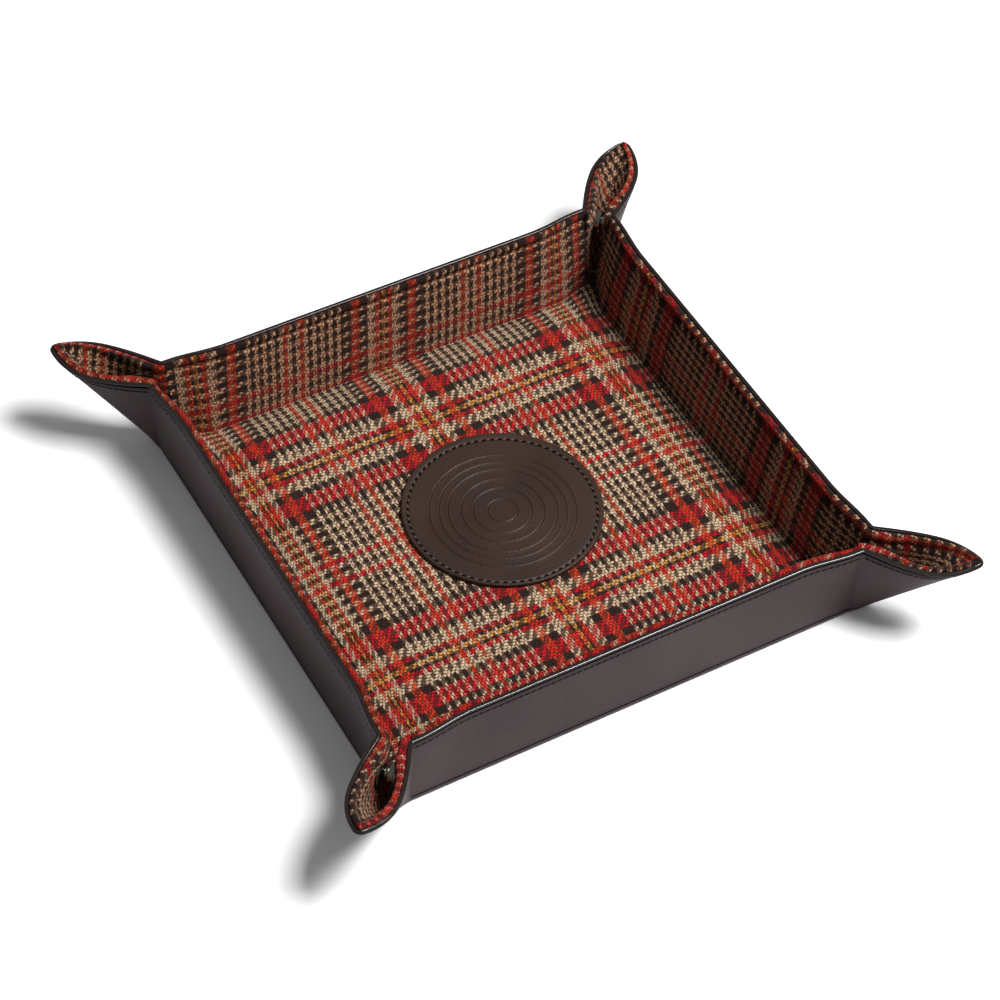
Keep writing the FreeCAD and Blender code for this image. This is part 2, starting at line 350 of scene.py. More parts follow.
def thread_ramp(tree, count, bright, first, last):
    """Stepped ramp over half a repeat: each stop is the first thread of its colour."""
    order = [(0, gold_wool), (1, dark_wool), (2, bright), (4, cream_wool), (8, dark_wool)]
    order += [(first, bright), (last, dark_wool)]
    for pair in range(6):
        order += [(21 + 4 * pair, cream_wool), (23 + 4 * pair, bright if pair == 4 else dark_wool)]
    ramp = add_node(tree, "ValToRGB", {"Fac": math_node(tree, "DIVIDE", count, float(half_repeat))})
    ramp.color_ramp.interpolation = "CONSTANT"
    stops = ramp.color_ramp.elements
    while len(stops) < len(order):
        stops.new(0.99)
    for stop, (thread_number, colour) in zip(stops, order):
        stop.position = thread_number / half_repeat
        stop.color = colour
    return ramp.outputs["Color"]


def mixed(tree, share, first, second):
    """The first colour, and more of the second with the share."""
    return add_node(tree, "Mix", {0: share, 6: first, 7: second}, data_type="RGBA").outputs[2]


def chosen_number(tree, share, first, second):
    """The first number, and more of the second with the share."""
    return add_node(tree, "Mix", {0: share, 2: first, 3: second}, data_type="FLOAT").outputs[0]


def excess(tree, colour):
    """How much more red than green a colour has."""
    parts = add_node(tree, "SeparateColor", {0: colour})
    return math_node(tree, "SUBTRACT", parts.outputs[0], parts.outputs[1])


def woven_finish(name, shade_tone):
    """Two-and-two twill: warp i lies over weft j where (i - j + 3) mod 4 is under 2.

    Each float is two threads long, and its height is a pillow: sin across times sin along. The red weft is a
    loftier yarn, so it covers more of the warp beside it, and a bright yarn shows through the nap of the one
    on top. The colour is darkened with the pillow's height as painted shade between the yarns. The
    shade_tone is painted shade as well: the walls and ears take a darker, redder copy of the cloth, as the
    light reaches them at a grazing angle."""
    finish, tree, shader = new_finish(name)
    flat = add_node(tree, "UVMap", uv_map="cloth").outputs["UV"]
    wander = add_node(tree, "TexNoise", {"Vector": flat, "Scale": 85.0, "Detail": 3.0, "Roughness": 0.75})
    shift = vector_node(tree, "SUBTRACT", wander.outputs["Color"], (0.5, 0.5, 0.5))
    moved = vector_node(tree, "MULTIPLY_ADD", shift, (0.022, 0.022, 0.0), flat)
    split = add_node(tree, "SeparateXYZ", {0: moved})
    reckon = partial(math_node, tree)
    unit_mm = 1.0 / cloth_scale
    warp_at = reckon("MULTIPLY_ADD", split.outputs["X"], unit_mm / warp_pitch, warp_start / warp_pitch)
    weft_at = reckon("MULTIPLY_ADD", split.outputs["Y"], unit_mm / weft_pitch, weft_start / weft_pitch)
    warp_count = reckon("PINGPONG", warp_at, float(half_repeat))
    weft_count = reckon("PINGPONG", weft_at, float(half_repeat))
    warp_colour = thread_ramp(tree, warp_count, orange_wool, 12, 16)
    weft_colour = thread_ramp(tree, weft_count, red_wool, 11, 17)
    warp_thread = reckon("FLOOR", warp_at)
    weft_thread = reckon("FLOOR", weft_at)
    count = reckon("ADD", reckon("SUBTRACT", warp_thread, weft_thread), 3.0)
    step = reckon("FLOORED_MODULO", count, 4.0)
    over = reckon("LESS_THAN", step, 1.5)
    warp_across = reckon("FRACT", warp_at)
    weft_across = reckon("FRACT", weft_at)
    off_middle = reckon("ABSOLUTE", reckon("SUBTRACT", warp_across, 0.5))
    redness = excess(tree, weft_colour)
    yarn_half = reckon("MULTIPLY_ADD", redness, -0.17, 0.43)
    on_yarn = reckon("MULTIPLY", over, reckon("LESS_THAN", off_middle, yarn_half))
    warp_nap = reckon("MULTIPLY_ADD", excess(tree, warp_colour), 0.4, 0.08)
    weft_nap = reckon("MULTIPLY_ADD", redness, 0.16, 0.06)
    weft_top = mixed(tree, warp_nap, weft_colour, warp_colour)
    warp_top = mixed(tree, weft_nap, warp_colour, weft_colour)
    colour = mixed(tree, on_yarn, weft_top, warp_top)
    warp_along = reckon("SUBTRACT", reckon("ADD", weft_across, 1.0), step)
    weft_along = reckon("SUBTRACT", reckon("ADD", warp_across, step), 2.0)
    across = chosen_number(tree, over, weft_across, warp_across)
    along = chosen_number(tree, over, weft_along, warp_along)
    round_across = reckon("SINE", reckon("MULTIPLY", across, math.pi))
    round_along = reckon("SINE", reckon("MULTIPLY", along, math.pi / 2.0))
    pillow = reckon("POWER", reckon("MULTIPLY", round_across, round_along), 0.6)
    hairy = reckon("SUBTRACT", noise(tree, flat, 330.0, 4.0, 0.75), 0.5)
    height = reckon("MULTIPLY_ADD", hairy, 1.5, pillow)
    patch = reckon("SUBTRACT", noise(tree, flat, 22.0, 3.0), 0.5)
    uneven = reckon("MULTIPLY_ADD", patch, 0.6, height)
    # Painted shade: the colour darkens with the pillow's height to a warm brown between the floats; the
    # broad patches vary it at random.
    lit = (1.15 * shade_tone[0], 1.08 * shade_tone[1], shade_tone[2], 1.0)
    shade = two_tone(tree, uneven, (0.13, 0.06, 0.04, 1.0), lit, 0.25, 1.0)
    look = {
        "Base Color": vector_node(tree, "MULTIPLY", colour, shade),
        "Normal": bumped(tree, height, 0.8, 0.0006),
        "Roughness": 0.85,
        "Specular IOR Level": 0.2,
        "Sheen Weight": 0.04,
        "Sheen Roughness": 0.5,
    }
    set_inputs(tree, shader, look)
    return finish


tweed = woven_finish("wool_check", (1.0, 1.0, 1.0))
# Painted shade: a darker, redder copy of the wool for the walls and ears, where the light grazes the cloth.
shaded_wall_tweed = woven_finish("wool_check_wall_painted_shade", (0.76, 0.58, 0.53))
print("woven finishes", tweed.name, shaded_wall_tweed.name, "with", len(tweed.node_tree.nodes), "nodes")


# %% Thread, board and plated metal
def fibre_finish(name, dark, light, scale, detail, further):
    """Thread or board: fine fibres in two tones, with further settings of the shader."""
    finish, tree, shader = new_finish(name)
    fibre = noise(tree, add_node(tree, "TexCoord").outputs["Object"], scale, detail)
    set_inputs(tree, shader, {"Base Color": two_tone(tree, fibre, dark, light), **further})
    return finish


def plated_finish(name):
    """Nickel plate: full metal with a faintly uneven polish."""
    finish, tree, shader = new_finish(name)
    polish = noise(tree, add_node(tree, "TexCoord").outputs["Object"], 600.0, 3.0)
    uneven = between(tree, polish, 0.14, 0.3)
    set_inputs(tree, shader, {"Base Color": linear(150, 147, 141), "Roughness": uneven, "Metallic": 1.0})
    return finish


waxed = {"Roughness": 0.6, "Specular IOR Level": 0.25}
matt = {"Roughness": 0.9}
thread = fibre_finish("dark_thread", linear(16, 11, 10), linear(36, 26, 23), 2400.0, 2.0, waxed)
# The medallion's thread is lighter than the rim's; the lightness is partly painted highlight, for stitches
# on top that catch the lamp.
disc_thread_lit = fibre_finish("brown_thread_lit", linear(58, 45, 40), linear(104, 87, 79), 2400.0, 2.0, waxed)
board = fibre_finish("grey_board", linear(132, 126, 118), linear(186, 178, 166), 900.0, 6.0, matt)
plate = plated_finish("nickel_plate")
print("small finishes", thread.name, disc_thread_lit.name, board.name, plate.name)


# %% Dressing a piece
def dress(piece, finish, further=()):
    """Give a piece its finish and further ones for its bands."""
    for each in (finish, *further):
        piece.data.materials.append(each)


# %% [markdown]
# ## Leather base
# The flat underside. Its corners are rounded out under the ears, and the four wall leathers begin just
# inside its straight sides, where the hide bends up.

# %% Leather base
fold_start = 96.0
strip_end = wall_end - 0.75


def base_outline():
    """One corner, turned four times: out to the wall leather's end, then round the corner."""
    side = base_half - 0.3
    bow = 3.0
    start = np.array([[strip_end, -fold_start], [strip_end, -side]])
    curve = arc((side - bow, bow - side), bow, -90.0, 0.0, 7)
    end = np.array([[side, -strip_end], [fold_start, -strip_end]])
    corner = np.concatenate([start, curve, end])
    return np.concatenate([turned(corner, quarter) for quarter in range(4)])


def slab(outline, heights, insets):
    """The outline at a few heights, drawn in a little at each for a softened edge."""
    reach = np.linalg.norm(outline, axis=1, keepdims=True)
    rings = []
    for high, inset in zip(heights, insets):
        drawn = outline * (1.0 - inset / reach)
        rings.append(np.concatenate([drawn, np.full((len(outline), 1), high)], axis=1))
    return np.stack(rings)


hide_slab = slab(base_outline(), [0.0, 0.4, 1.0, leather], [1.6, 0.5, 0.1, 0.0])
base_hide = loops_to_object("base_hide", hide_slab)
dress(base_hide, wall_hide)
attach(base_hide, "base")
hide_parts("base_leather")

pad_corner = arc((62.0, -62.0), 12.0, -90.0, 0.0, 7)
pad_outline = np.concatenate([turned(pad_corner, quarter) for quarter in range(4)])
base_pad = loops_to_object("base_pad", slab(pad_outline, [1.5, 1.7, 3.1, 3.3], [0.2, 0.0, 0.0, 0.2]))
dress(base_pad, board)
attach(base_pad, "base")
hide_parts("base_board")
print("base hide", len(base_hide.data.vertices), "base pad", len(base_pad.data.vertices))

# %% [markdown]
# ## Wall leathers
# One profile, seen from the wall's end, holds everything: the rounded bend at the foot, a pressed line above
# it, the stitched groove, a swelled band, a gap under the painted rim, and the back. The pressed line and
# the gap take a near-black finish as painted shade, for the shadow and depth of the grooves. Carried along
# the wall it is a thin skin.

# %% Rim profile of the leather
bead = 0.3
stitch_below = 4.0
rim_reach = 7.0


def rim_relief(below):
    """Depth of the face at a distance below the rim: bell curves for a lip, a gap, a band and a groove."""
    lip = -bead * bell(below, 0.5, 0.6)
    gap = 0.7 * bell(below, 1.35, 0.42)
    band = -0.3 * bell(below, 2.85, 0.55)
    groove = 0.25 * bell(below, stitch_below, 0.4)
    return lip + gap + band + groove


def rim_front():
    """Points (below, deep) of the leather face, from its reach below the rim up and over its round edge."""
    below = np.concatenate([np.linspace(rim_reach, 5.6, 3), np.linspace(5.3, 0.65, 36)])
    face = np.stack([below, rim_relief(below)], axis=1)
    corner = arc((0.5, 0.5 - bead), 0.5, 262.0, 185.0, 9)
    back = arc((0.3, leather - 0.3), 0.3, 170.0, 90.0, 4)
    return np.concatenate([face, corner, back])


# Painted shade: the gap under the painted lip takes a near-black finish, where the lip's shadow falls.
groove_shade_below = 2.02
paint_below = 0.95
painted, groove_shaded = 1, 2
rim_points = rim_front()
groove_shade_first = int(np.argmax(rim_points[:, 0] < groove_shade_below))
bead_first = int(np.argmax(rim_points[:, 0] < paint_below))
rim_bands = np.array([[bead_first, len(rim_points), painted], [groove_shade_first, bead_first, groove_shaded]])
print("rim profile", len(rim_points), "points, dyed from", groove_shade_first, "and painted from", bead_first)


# %% Wall leathers
foot_round = 1.2
foot_line = 2.5


def wall_place(along, up, deep):
    """Front wall: y = -half - up cos + deep sin, z = up sin + deep cos, with x along the wall."""
    y = -base_half - up * math.cos(wall_angle) + deep * math.sin(wall_angle)
    z = up * math.sin(wall_angle) + deep * math.cos(wall_angle)
    return np.stack(np.broadcast_arrays(along, y, z), axis=-1)


rim_lean = {"front": 3.5, "right": 2.0, "back": 2.4, "left": 2.6}
crease_lean = {"front": 1.0, "right": 0.0, "back": 0.0, "left": 0.0}


def drawn_in(points, lean):
    """Points of a front wall drawn in: y + lean times height share."""
    moved = np.array(points, dtype=float)
    moved[..., 1] += lean * np.clip(points[..., 2] / rim_height, 0.0, 1.1)
    return moved


def lean_in(points, wall):
    """A wall drawn in to upright, less towards its ends, then turned to its place."""
    middle = 1.0 - smooth((np.abs(points[..., 0]) - 68.0) / 23.0)
    lean = crease_lean[wall] + (rim_lean[wall] - crease_lean[wall]) * middle
    return turned(drawn_in(points, lean), WALLS.index(wall))


def wall_hide_loop():
    """The skin's closed profile as (y, z): flat foot, round bend, pressed line, rim, back, inner bend."""
    reach = foot_round * math.tan(wall_angle / 2.0)
    bend = arc((-base_half + reach, foot_round), foot_round, -90.0, -90.0 - math.degrees(wall_angle), 10)
    up = np.linspace(1.3, 5.2, 30)
    line = 0.45 * bell(up, foot_line, 0.3)
    ridge = 0.16 * bell(up - foot_line, 0.85, 0.45)
    lower = wall_place(0.0, up, line - ridge)[:, 1:]
    upper = wall_place(0.0, border - rim_points[:, 0], rim_points[:, 1])[:, 1:]
    back = wall_place(0.0, np.array([30.0, 15.0, 3.2]), leather)[:, 1:]
    inner = np.array([[-base_half + 1.95, 2.2], [-base_half + 2.6, 1.55], [-fold_start, leather]])
    foot = np.array([[-fold_start, 0.0]])
    return np.concatenate([foot, bend, lower, upper, back, inner])


hide_loop = wall_hide_loop()
hide_along = np.linspace(-strip_end, strip_end, 41)
hide_loops = np.empty((len(hide_along), len(hide_loop), 3))
hide_loops[..., 0] = hide_along[:, None]
hide_loops[..., 1:] = hide_loop[None]
behind_rim = 6
# Painted shade: a few steps of near-black finish in the pressed line at the foot.
foot_shade_steps = 4
rim_step = len(hide_loop) - behind_rim - len(rim_points)
foot_step = int(np.argmax(hide_loop[:, 1] > foot_line - 0.5))
foot_band = [foot_step, foot_step + foot_shade_steps, groove_shaded]
wall_bands = np.concatenate([rim_bands + [rim_step, rim_step, 0], [foot_band]])
for quarter, wall in enumerate(WALLS):
    skin = loops_to_object(f"{wall}_wall_hide", lean_in(hide_loops, wall), bands=wall_bands)
    dress(skin, wall_hide, (edge_paint, painted_groove_shade))
    start, end = world((0, -96.5, 0), quarter), world((0, -100.2, 3.7), quarter)
    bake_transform(skin)
    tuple(start)
    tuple(end)
    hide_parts(f"{wall}_wall_leather")
print("wall leathers", len(WALLS), "with", len(hide_loop), "points round the profile")

# %% Wall boards
pad_along = np.linspace(-wall_end + 4.0, wall_end - 4.0, 31)
pad_ups = np.array([6.5, border - 6.4, border - 6.4, 6.5])
pad_deeps = np.array([1.45, 1.45, 3.0, 3.0])
pad_loops = wall_place(pad_along[:, None], pad_ups[None], pad_deeps[None])
for wall in WALLS:
    pad = loops_to_object(f"{wall}_wall_pad", lean_in(pad_loops, wall))
    dress(pad, board)
    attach(pad, f"{wall}_wall")
    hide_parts(f"{wall}_wall_board")
print("wall boards", len(WALLS))

# %% [markdown]
# ## Lining on the base
# The wool is one sheet. It lies on a padded board, slopes down to a groove along each fold and climbs the
# wall from there. The base is a grid over the square whose sides are the grooves; near the corners the
# grooves run out towards the ears.

# %% Base lining
groove_in = 90.0
groove_corner = 94.0
groove_low = 2.0
plateau = 5.4
slope_width = 17.5
plain_reach = 72.6


def groove_reach(along):
    """How far out the groove lies along the wall: it runs out to the corner over the end fifth."""
    return groove_in + (groove_corner - groove_in) * smooth((np.abs(along) / groove_corner - 0.8) / 0.2)


def flat_reach(out, reach):
    """Cloth distance for a distance from the middle: true on the plateau, drawn together on the slope."""
    size = np.abs(out)
    drawn = plain_reach + (size - plain_reach) / (reach - plain_reach) * (base_half - plain_reach)
    return np.sign(out) * np.where(size < plain_reach, size, drawn)


def base_lining_grid(count):
    """Height = groove + rise (1 - (1 - t)^1.8), t = distance from the groove over the slope's width."""
    side = np.linspace(-1.0, 1.0, count)
    across, back = np.meshgrid(side, side, indexing="ij")
    reach_x = groove_reach(back * groove_corner)
    reach_y = groove_reach(across * groove_corner)
    x = across * reach_x
    y = back * reach_y
    edge = (np.abs(across) ** 14 + np.abs(back) ** 14) ** (1.0 / 14.0)
    inside = np.clip((1.0 - edge) * groove_in / slope_width, 0.0, 1.0)
    z = groove_low + (plateau - groove_low) * (1.0 - (1.0 - inside) ** 1.8)
    flat = np.stack([flat_reach(x, reach_x), flat_reach(y, reach_y)], axis=-1)
    return np.stack([x, y, z], axis=-1), flat


def sheet_object(name, grid, flat, thickness):
    """An open grid of quads with the cloth's UV, given its thickness by Solidify."""
    rows, columns = grid.shape[:2]
    index = np.arange(rows * columns).reshape(rows, columns)
    corners = [index[:-1, :-1], index[1:, :-1], index[1:, 1:], index[:-1, 1:]]
    quads = np.stack(corners, axis=-1).reshape(-1, 4)
    mesh = bpy.data.meshes.new(name)
    mesh.from_pydata((grid.reshape(-1, 3) * MM).tolist(), [], quads.tolist())
    mesh.polygons.foreach_set("use_smooth", np.ones(len(mesh.polygons), dtype=bool))
    lay_cloth(mesh, flat)
    made = place_object(name, mesh)
    thick = made.modifiers.new("cloth thickness", "SOLIDIFY")
    thick.thickness = thickness * MM
    thick.offset = -1.0
    return made


base_grid, base_flat = base_lining_grid(121)
base_cloth = sheet_object("base_cloth", base_grid, base_flat, 0.4)
dress(base_cloth, tweed)
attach(base_cloth, "base")
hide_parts("base_lining")
print("base lining", len(base_cloth.data.polygons), "quads")

# %% [markdown]
# ## Lining on the walls
# From the groove the cloth leans back up the wall over a thin padding, dips at the stitch line and rolls
# over the rim as a soft hem beside the leather edge. Cloth distance runs on from the fold line.

# %% Wall linings
hem_round = 1.4
hem_deep = lining_back + hem_round - 0.1
hem_start = 7.5
hem_crest = 6
face_deep = 4.6
valley_below = 3.6
fold_cloth = 101.4
hem_cloth = {"front": 140.7, "right": 143.5, "back": 138.4, "left": 147.5}
wall_pull = {"front": 0.0, "right": 3.0, "back": -3.5, "left": 0.0}


def hem_points():
    """Points (below, deep): from the lining's face, in to the stitched valley and over the hem roll."""
    below = np.linspace(hem_start, valley_below - 0.9, 9)
    dip = 1.3 * bell(below, valley_below, 1.3)
    face = np.stack([below, face_deep - dip], axis=1)
    roll = arc((hem_round, hem_deep), hem_round, 50.0, 270.0, 14)
    return np.concatenate([face, roll])


hem = hem_points()


def wall_lining_loops(along):
    """Each loop: a leaning face with a slight belly, the hem, the back, and the foot in the groove.

    With the loops comes the climb: the run along the cloth as a share of the run up to the hem's crest."""
    foot_deep = (base_half + 0.1 - groove_reach(along)) / math.sin(wall_angle)
    thin = 1.2 * smooth((np.abs(along) - 80.0) / 12.0)
    share = np.linspace(0.0, 1.0, 13)[:-1]
    foot_up = 1.4
    face_up = foot_up + (border - hem_start - foot_up) * share
    belly = 0.5 * np.sin(math.pi * share)
    face = foot_deep[:, None] + (face_deep - foot_deep[:, None]) * share + belly
    count = len(along)
    back_up = [30.0, 12.0, 1.8]
    ups = np.tile(np.concatenate([face_up, border - hem[:, 0], back_up]), (count, 1))
    deeps = np.concatenate([face, np.tile(hem[:, 1], (count, 1)), np.full((count, 3), lining_back)], axis=1)
    fade = np.clip((deeps - lining_back) / 3.0, 0.0, 1.0)
    deeps = deeps - thin[:, None] * fade
    loops = wall_place(along[:, None], ups, deeps)
    shown = len(share) + len(hem)
    step = np.hypot(np.diff(ups[:, :shown], axis=1), np.diff(deeps[:, :shown], axis=1))
    run = np.concatenate([np.zeros((count, 1)), np.cumsum(step, axis=1)], axis=1)
    behind = run[:, -1:] - np.array([[6.0, 24.0, 34.0]])
    run = np.concatenate([run, np.maximum(behind, 0.0)], axis=1)
    crest = shown - hem_crest
    return loops, run / run[:, crest : crest + 1]


def wall_flat(wall, along, climb):
    """Cloth place: from the fold's distance to the hem's, pulled sideways with the climb in the middle."""
    out = fold_cloth + (hem_cloth[wall] - fold_cloth) * climb
    middle = 1.0 - smooth((np.abs(along) - 65.0) / 25.0)
    across = along[:, None] - wall_pull[wall] * climb * middle[:, None]
    return np.stack([across, -out], axis=-1)


lining_along = np.linspace(-strip_end, strip_end, 93)
lining_loops, lining_climb = wall_lining_loops(lining_along)
for quarter, wall in enumerate(WALLS):
    own_flat = turned(wall_flat(wall, lining_along, lining_climb), quarter)
    cloth = loops_to_object(f"{wall}_wall_cloth", lean_in(lining_loops, wall), own_flat, sharp=70.0)
    dress(cloth, shaded_wall_tweed)
    start, end = world((0, -90.0, 2.0), quarter), world((0, -97.0, 16.0), quarter)
    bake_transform(cloth)
    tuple(start)
    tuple(end)
    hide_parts(f"{wall}_wall_lining")
print("wall linings", len(WALLS), "hem points", len(hem))

# %% [markdown]
# ## Ears
# Past each wall's end the rim turns out along the corner's diagonal, runs in to a neck where the stud pulls
# it, swells and closes in a nose. The lower edge goes round the corner of the base. Straight lines from that
# root to the rim make the ear's side; the same profile as on the wall is carried along them.

# %% Ear rulings
bend_share = 0.53
bend_half = 9.6
bend_dip = 0.8
tip_rise = 1.1
crease_s = (wall_end + rim_half) / math.sqrt(2.0)
crease_d = (rim_half - wall_end) / math.sqrt(2.0)
root_s = (base_half + wall_end) / math.sqrt(2.0)
root_d = crease_inset / math.sqrt(2.0)
bend_s = 161.306
tip_s = 179.209
corner_swell = 4.2
nose_round = 26.0
tip_round = 3.2
nose_turn = math.acos((nose_round - bend_half) / (nose_round - tip_round))
nose_length = nose_round * nose_turn
tip_length = tip_round * (math.pi / 2.0 - nose_turn)


def corner_place(s, d, z):
    """s runs out along the front right diagonal, d from it towards the front wall."""
    root = math.sqrt(0.5)
    return np.stack(np.broadcast_arrays((s - d) * root, (-s - d) * root, z), axis=-1)


def ear_rim(share):
    """Neck: a quarter sine from crease to bend. Nose: a wide arc, then a tight one to the diagonal."""
    inner = np.clip(share / bend_share, 0.0, 1.0)
    run = np.clip((share - bend_share) / (1.0 - bend_share), 0.0, 1.0) * (nose_length + tip_length)
    nose = np.minimum(run, nose_length) / nose_round
    tip = nose_turn + np.maximum(run - nose_length, 0.0) / tip_round
    ease = np.sin(inner * math.pi / 2.0)
    s = crease_s + (bend_s - crease_s) * inner + nose_round * np.sin(nose)
    s = s + tip_round * (np.sin(tip) - math.sin(nose_turn))
    d = crease_d + (bend_half - crease_d) * ease
    d = d - nose_round * (1.0 - np.cos(nose)) - tip_round * (math.cos(nose_turn) - np.cos(tip))
    along = np.clip((s - bend_s) / (tip_s - bend_s), 0.0, 1.0)
    z = rim_height - bend_dip * ease + (bend_dip + tip_rise) * along**2
    return corner_place(s, d, z)


def ear_root(share):
    """The lower edge: from the crease round the corner of the base to the diagonal, a quarter sine."""
    swell = corner_swell * np.sin(np.clip(share, 0.0, 1.0) * math.pi / 2.0)
    return corner_place(root_s + swell, root_d * (1.0 - share), np.zeros_like(share))


crease_round = 0.7
crease_points = 9
first_share = bend_share * crease_round / (bend_s - crease_s)


def rounded_start(before, corner, after, count):
    """A quadratic curve that rounds the corner between the wall and the ear."""
    t = np.linspace(0.0, 1.0, count)[:, None]
    return (1.0 - t) ** 2 * before + 2.0 * t * (1.0 - t) * corner + t**2 * after


def ear_rulings(shares):
    """Lower and upper ends of the rulings, with the rounded crease before them."""
    low, high = ear_root(shares), ear_rim(shares)
    wall_low = wall_place(wall_end - crease_round, 0.0, 0.0)
    wall_high = wall_place(wall_end - crease_round, border, 0.0)
    fold_low = wall_place(wall_end, 0.0, 0.0)
    fold_high = wall_place(wall_end, border, 0.0)
    first_low = rounded_start(wall_low, fold_low, low[0], crease_points)[:-1]
    first_high = rounded_start(wall_high, fold_high, high[0], crease_points)[:-1]
    return np.concatenate([first_low, low]), np.concatenate([first_high, high])


print("ear tip at", ear_rim(np.array([1.0]))[0].round(2), "nose turns", round(math.degrees(nose_turn), 1))


# %% Carrying a profile along the rulings
stud_s = 145.0
diagonal_gap = 0.02
face_shares = [1.0, 0.75, 0.5, 0.25]
face_points = len(face_shares)


def ear_loops(low, high, fixed, share, deep, foot, puff=0.0):
    """Profile point k lies fixed[k] below the rim, or share[k] of the way to the foot, and deep[k] inside.

    Inside is the unit normal, ruling x rim direction; the far half is kept off the diagonal plane. The hem
    is puffed where the stud pulls the neck together."""
    ruling = high - low
    length = np.linalg.norm(ruling, axis=1)
    below = fixed[None, :] * (1.0 - share) + share * (length[:, None] - foot)
    up = 1.0 - below / length[:, None]
    skin = low[:, None, :] + ruling[:, None, :] * up[..., None]
    forward = np.gradient(skin, axis=0)
    inward = np.cross(np.broadcast_to(ruling[:, None, :], skin.shape), forward)
    inward = inward / np.linalg.norm(inward, axis=-1, keepdims=True)
    out = (high[:, 0] - high[:, 1]) * math.sqrt(0.5)
    swell = puff * bell(out, stud_s, 6.0)[:, None]
    thick = deep[None, :] + swell * np.clip(deep - lining_back, 0.0, None) * (share < 0.2)
    placed = skin + inward * thick[..., None]
    aside = -(placed[..., 0] + placed[..., 1]) * math.sqrt(0.5)
    push = np.maximum(diagonal_gap - aside, 0.0) * math.sqrt(0.5)
    placed[..., :2] -= push[..., None]
    return placed


def ear_profile(face_fixed, face_in, edge, back_in):
    """Foot, face, edge and back, as fixed distances, shares of the length and depths."""
    fixed = np.concatenate([np.full(face_points, face_fixed), edge[:, 0], np.full(face_points, rim_reach)])
    share = np.concatenate([face_shares, np.zeros(len(edge)), face_shares[::-1]])
    deep = np.concatenate([np.full(face_points, face_in), edge[:, 1], np.full(face_points, back_in)])
    return fixed, share, deep


ear_face = 3.4
ear_hem = hem.copy()
ear_hem[:, 1] = np.where(hem[:, 1] > ear_face, ear_face + 0.5 * (hem[:, 1] - ear_face), hem[:, 1])
cut_share = bend_share - 0.012
tip_share = 0.9
inner_shares = np.linspace(first_share, cut_share, 22)
outer_shares = np.concatenate([np.linspace(cut_share, tip_share, 20)[:-1], np.linspace(tip_share, 1.0, 9)])
ear_low, ear_high = ear_rulings(np.concatenate([inner_shares, outer_shares[1:]]))
hide_profile = ear_profile(rim_reach, 0.0, rim_points, leather)
cloth_profile = ear_profile(hem_start, ear_face, ear_hem, lining_back)
ear_hide = ear_loops(ear_low, ear_high, *hide_profile, 0.5)
ear_cloth = ear_loops(ear_low, ear_high, *cloth_profile, 1.8, puff=0.55)
bend_station = len(ear_low) - len(outer_shares)
station_shares = np.concatenate([np.zeros(crease_points - 1), inner_shares, outer_shares[1:]])
ear_fade = 1.0 - smooth(station_shares / bend_share)
print("ear stations", len(ear_low), "cut at", bend_station, "faded", ear_fade.shape)


# %% Ear leathers and linings
hem_top = face_points + len(hem) - hem_crest
ear_shift = {
    ("front_right", "front"): 3.5,
    ("back_right", "right"): -3.0,
    ("back_left", "back"): 2.0,
    ("front_left", "left"): -3.0,
    ("front_left", "front"): -2.0,
}


def ear_flat(loops, shares, first_u, hem_v, shift):
    """Cloth place on an ear: measured along the hem from the wall's end, and down to the 45-degree root.

    The hem strays from its thread by the shift, as the cloth was turned in by hand."""
    top = loops[:, hem_top]
    rim_u = first_u + np.concatenate([[0.0], np.cumsum(np.linalg.norm(np.diff(top, axis=0), axis=1))])
    q = np.concatenate([np.zeros(len(loops) - len(shares)), shares])
    root_u = wall_end + crease_inset * 0.5 * q
    root_v = base_half - crease_inset * 0.5 * q
    step = np.linalg.norm(np.diff(loops, axis=1), axis=2)
    run = np.concatenate([np.zeros((len(loops), 1)), np.cumsum(step, axis=1)], axis=1)
    fall = np.clip(1.0 - run / run[:, hem_top : hem_top + 1], -0.1, 1.0)
    u = rim_u[:, None] + (root_u - rim_u)[:, None] * np.clip(fall, 0.0, 1.0)
    hem_at = hem_v + shift * smooth(q / bend_share)
    v = hem_at[:, None] + (root_v - hem_at)[:, None] * fall
    return np.stack([u, -v], axis=-1), rim_u[-1]


bend_top = ear_rim(np.array([bend_share]))[0]
bend_across = corner_place(0.695, -0.619, -0.360)
blend_ends = {
    "inner": ((91.6, -101.0, 18.0), (94.6, -101.0, 18.0)),
    "outer": (tuple(bend_top - 0.8 * bend_across), tuple(bend_top + 5.0 * bend_across)),
}
panels = {
    "inner": (slice(None, bend_station + 1), inner_shares),
    "outer": (slice(bend_station, None), outer_shares),
}
ear_bands = rim_bands + [face_points, face_points, 0]
ear_sheets = {"inner": ((0.026, 0.045), 0.0006), "outer": ((0.026, 0.055), 0.00055)}
reached = strip_end


def ear_sides(panel):
    """Each ear side: corner, wall, way round, its body, the body before that, and the two end points listed
    for it in blend_ends.
    """
    for quarter, (corner, first, second) in enumerate(CORNERS):
        for wall, mirror in ((first, False), (second, True)):
            body = f"{corner}_ear_{wall}_{panel}"
            before = f"{wall}_wall" if panel == "inner" else f"{corner}_ear_{wall}_inner"
            start, end = (world(point, quarter, mirror) for point in blend_ends[panel])
            yield corner, wall, (quarter, mirror), body, before, start, end


